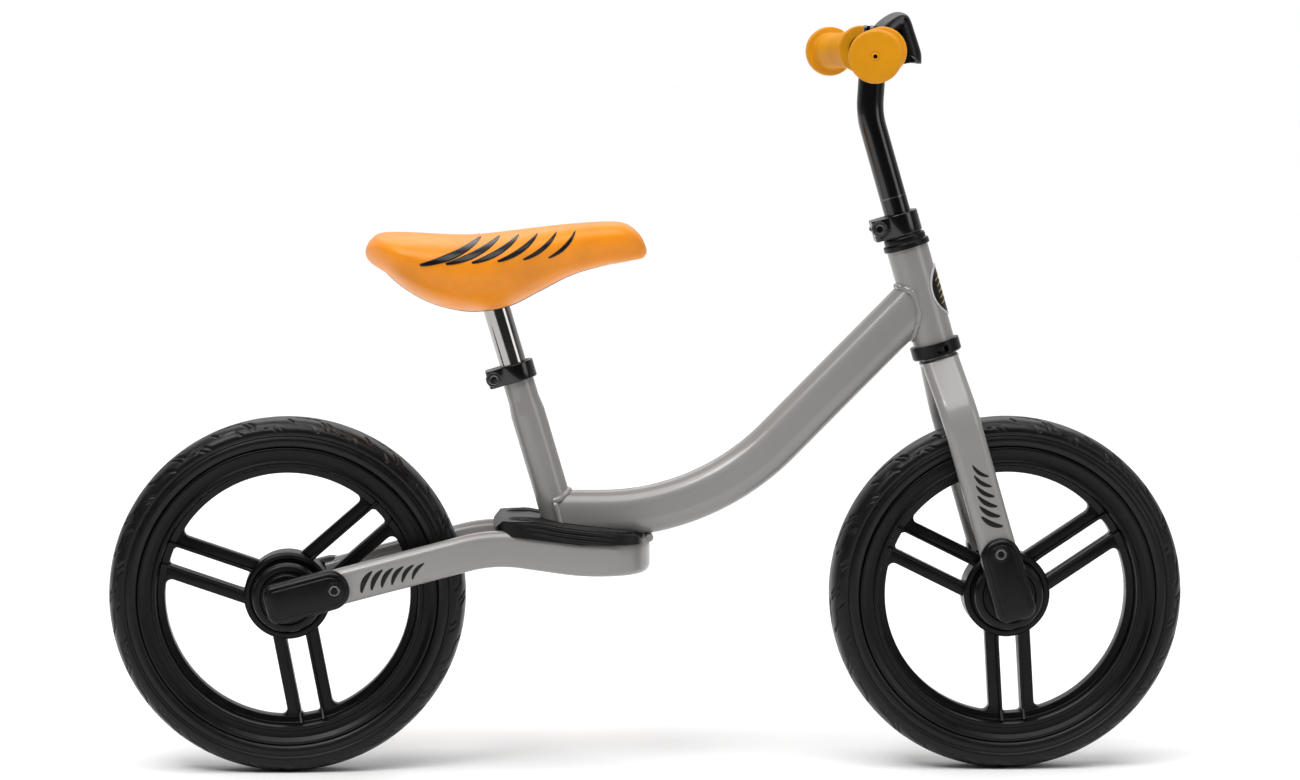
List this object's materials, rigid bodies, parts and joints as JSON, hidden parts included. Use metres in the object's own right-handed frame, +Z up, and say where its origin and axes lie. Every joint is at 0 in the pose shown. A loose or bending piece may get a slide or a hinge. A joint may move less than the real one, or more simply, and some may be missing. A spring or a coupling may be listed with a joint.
{
  "type": "balance bike",
  "caption": "Child's balance bike: S-curved steel frame, foam-tyred wheels on paired spokes, padded saddle and swept handlebar with height clamps, and a footrest on the stays.",
  "frame": {"origin": "on the floor, in the bike's middle plane, halfway between the two axles", "axes": "+X forward along the bike, +Y to the bike's left, +Z up"},
  "size_m": [0.893, 0.3864, 0.6312],
  "materials": {
    "frame_paint": "gloss grey paint on steel",
    "black_plastic": "satin black moulded plastic",
    "rim_plastic": "satin black moulded plastic",
    "tyre_foam": "matt black foam",
    "black_paint": "gloss black paint on steel",
    "black_steel": "blackened steel",
    "steel": "zinc-plated steel",
    "post_chrome": "polished chrome",
    "saddle_orange": "satin self-skinned foam",
    "grip_amber": "matt rubber"
  },
  "bodies": {
    "frame": {"head_tube": "frame_paint", "main_tube": "frame_paint", "seat_tube": "frame_paint", "rear_stay": "frame_paint", "stay_bridge": "frame_paint", "rear_dropout_right": "frame_paint", "rear_dropout_left": "frame_paint", "footrest": "black_plastic", "footrest_screws": "steel", "rear_axle": "steel", "rear_axle_nuts": "steel", "rear_axle_washers": "steel", "rear_axle_spacers": "steel", "rear_axle_cover_right": "black_plastic", "rear_axle_cover_left": "black_plastic", "rear_cover_screws": "black_steel", "upper_head_cup": "black_plastic", "lower_head_cup": "black_plastic", "seat_clamp": "black_paint", "seat_clamp_bolt": "black_steel", "seat_clamp_nut": "steel"},
    "rear_wheel": {"rear_tyre": "tyre_foam", "rear_rim": "rim_plastic", "rear_hub_cap_right": "black_plastic", "rear_hub_cap_left": "black_plastic", "rear_bearings": "steel"},
    "fork": {"fork_steerer": "frame_paint", "fork_blade_right": "frame_paint", "fork_blade_left": "frame_paint", "fork_end_right": "frame_paint", "fork_end_left": "frame_paint", "steering_stop_ring": "steel", "front_axle": "steel", "front_axle_nuts": "steel", "front_axle_washers": "steel", "front_axle_spacers": "steel", "front_axle_cover_right": "black_plastic", "front_axle_cover_left": "black_plastic", "front_cover_screws": "black_steel", "handlebar_clamp": "black_paint", "handlebar_clamp_bolt": "black_steel", "handlebar_clamp_nut": "steel"},
    "front_wheel": {"front_tyre": "tyre_foam", "front_rim": "rim_plastic", "front_hub_cap_right": "black_plastic", "front_hub_cap_left": "black_plastic", "front_bearings": "steel"},
    "handlebar": {"stem_tube": "black_paint", "crossbar": "black_paint", "right_grip": "grip_amber", "left_grip": "grip_amber", "bar_shield": "black_plastic", "shield_clips": "black_plastic", "shield_screws": "steel"},
    "saddle": {"seat_post": "post_chrome", "saddle_pan": "black_plastic", "saddle_pad": "saddle_orange", "saddle_bolt": "steel"}
  },
  "joints": [
    {"name": "rear_wheel_spin", "type": "hinge", "parent": "frame", "child": "rear_wheel", "pos_m": [-0.299, 0, 0.1475], "axis": [0, 1, 0], "continuous": true},
    {"name": "steering", "type": "hinge", "parent": "frame", "child": "fork", "pos_m": [0.299, 0, 0.1475], "axis": [-0.2823, 0, 0.9593], "range_deg": [-45, 45]},
    {"name": "front_wheel_spin", "type": "hinge", "parent": "fork", "child": "front_wheel", "pos_m": [0.299, 0, 0.1475], "axis": [0, 1, 0], "continuous": true},
    {"name": "handlebar_height", "type": "slide", "parent": "fork", "child": "handlebar", "axis": [-0.2823, 0, 0.9593], "range_m": [-0.04, 0.005]},
    {"name": "saddle_height", "type": "slide", "parent": "frame", "child": "saddle", "axis": [-0.2874, 0, 0.9578], "range_m": [-0.03, 0.045]}
  ]
}
